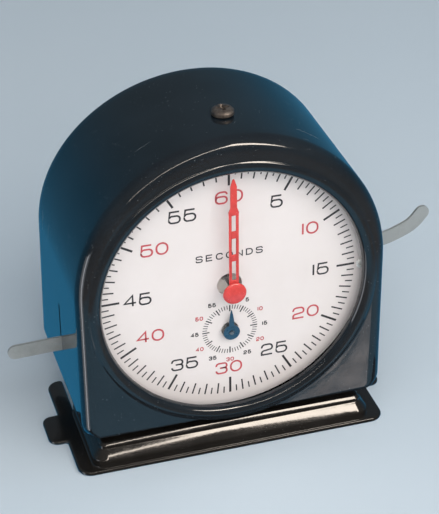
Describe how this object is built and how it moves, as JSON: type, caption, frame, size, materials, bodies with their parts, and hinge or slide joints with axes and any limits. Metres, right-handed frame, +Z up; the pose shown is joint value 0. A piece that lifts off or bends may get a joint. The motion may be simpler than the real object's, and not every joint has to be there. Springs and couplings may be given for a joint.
{
  "type": "lab timer",
  "caption": "Wind-up seconds timer: an arched black enamel case on a heavy base, with a large seconds dial, a minutes sub-dial and a lever on each side.",
  "frame": {"origin": "on the table under the base, straight below the dial's centre and in the plane of the dial's face", "axes": "+X to the right of someone reading the dial, +Y into the case, +Z up"},
  "size_m": [0.1601, 0.0867, 0.1298],
  "materials": {
    "case_enamel": "very glossy black stove enamel with a blue cast and fine dust specks",
    "base_enamel": "glossy black enamel",
    "dial_paint": "off-white semi-gloss paint with printed scales",
    "red_paint": "glossy red lacquer",
    "blue_steel": "blued steel",
    "nickel_plate": "dull nickel plate",
    "screw_steel": "oiled dark steel",
    "brass": "stamped brass",
    "bright_steel": "turned steel",
    "spring_steel": "blued spring steel"
  },
  "bodies": {
    "root": {"case_shell": "case_enamel", "base_plate": "base_enamel", "rear_cover": "case_enamel", "top_screw": "screw_steel", "base_screw_left": "screw_steel", "base_screw_right": "screw_steel", "cover_screw_1": "screw_steel", "cover_screw_2": "screw_steel", "cover_post_1": "nickel_plate", "cover_post_2": "nickel_plate", "top_bracket": "bright_steel", "bottom_bracket": "bright_steel", "dial": "dial_paint", "dial_screw_left": "nickel_plate", "dial_screw_right": "nickel_plate", "dial_foot_left": "brass", "dial_foot_right": "brass", "front_plate": "nickel_plate", "back_plate": "nickel_plate", "pillar_1": "bright_steel", "pillar_2": "bright_steel", "pillar_3": "bright_steel", "pillar_nut_1": "bright_steel", "pillar_nut_2": "bright_steel", "pillar_nut_3": "bright_steel", "balance_cock": "brass", "cock_screw": "bright_steel", "click_screw": "bright_steel", "start_lever_screw": "bright_steel", "reset_lever_screw": "bright_steel", "reset_spring": "spring_steel"},
    "seconds_train": {"seconds_arbor": "bright_steel", "seconds_wheel": "brass", "seconds_heart_cam": "bright_steel", "seconds_hand": "red_paint", "seconds_hand_boss": "red_paint"},
    "third_train": {"third_arbor": "bright_steel", "third_wheel": "brass"},
    "minute_train": {"minute_arbor": "bright_steel", "minute_wheel": "brass", "minute_heart_cam": "bright_steel", "minute_hand": "blue_steel"},
    "barrel": {"barrel_drum": "brass", "barrel_lid": "brass", "mainspring": "spring_steel"},
    "winding": {"winding_arbor": "bright_steel", "ratchet_wheel": "bright_steel", "winding_key": "nickel_plate"},
    "click_arm": {"click": "bright_steel"},
    "escape_train": {"escape_arbor": "bright_steel", "escape_wheel": "brass"},
    "pallet": {"pallet_lever": "bright_steel", "pallet_arbor": "bright_steel"},
    "balance": {"balance_staff": "bright_steel", "balance_wheel": "brass", "impulse_roller": "bright_steel", "hairspring": "spring_steel"},
    "start_lever": {"start_stop_lever": "nickel_plate"},
    "reset_arm": {"reset_lever": "nickel_plate"}
  },
  "joints": [
    {"name": "seconds_turn", "type": "hinge", "parent": "root", "child": "seconds_train", "pos_m": [0, 0, 0.067], "axis": [0, 1, 0], "continuous": true},
    {"name": "third_turn", "type": "hinge", "parent": "root", "child": "third_train", "pos_m": [-0.00917, 0, 0.05942], "axis": [0, 1, 0], "continuous": true},
    {"name": "minute_turn", "type": "hinge", "parent": "root", "child": "minute_train", "pos_m": [0, 0, 0.0483], "axis": [0, 1, 0], "continuous": true},
    {"name": "barrel_turn", "type": "hinge", "parent": "root", "child": "barrel", "pos_m": [0.01346, 0, 0.03712], "axis": [0, 1, 0], "continuous": true},
    {"name": "escape_turn", "type": "hinge", "parent": "root", "child": "escape_train", "pos_m": [-0.00727, 0, 0.0757], "axis": [0, 1, 0], "continuous": true},
    {"name": "winding_turn", "type": "hinge", "parent": "root", "child": "winding", "pos_m": [0.01346, 0.06, 0.03712], "axis": [0, -1, 0], "range_deg": [0, 1350]},
    {"name": "click_tilt", "type": "hinge", "parent": "root", "child": "click_arm", "pos_m": [0.0245, 0.026, 0.0445], "axis": [0, 1, 0], "range_deg": [0, 8], "stiffness_Nm_per_rad": 0.002, "springref_deg": -17.19},
    {"name": "pallet_rock", "type": "hinge", "parent": "root", "child": "pallet", "pos_m": [-0.01325, 0.017, 0.08216], "axis": [0, 1, 0], "range_deg": [-4, 4]},
    {"name": "balance_swing", "type": "hinge", "parent": "root", "child": "balance", "pos_m": [-0.02039, 0.028, 0.08986], "axis": [0, 1, 0], "range_deg": [-135, 135], "stiffness_Nm_per_rad": 0.000011},
    {"name": "start_stop", "type": "hinge", "parent": "root", "child": "start_lever", "pos_m": [-0.004, 0.026, 0.033], "axis": [0, 1, 0], "range_deg": [0, 14.5]},
    {"name": "reset", "type": "hinge", "parent": "root", "child": "reset_arm", "pos_m": [0.026, 0.026, 0.089], "axis": [0, 1, 0], "range_deg": [0, 6], "stiffness_Nm_per_rad": 0.08, "springref_deg": -6.88}
  ],
  "couplings": [
    {"joint": "third_turn", "follows": "seconds_turn", "ratio": -0.13333},
    {"joint": "minute_turn", "follows": "seconds_turn", "ratio": 0.016667},
    {"joint": "barrel_turn", "follows": "seconds_turn", "ratio": -0.0027778},
    {"joint": "escape_turn", "follows": "seconds_turn", "ratio": -8}
  ]
}
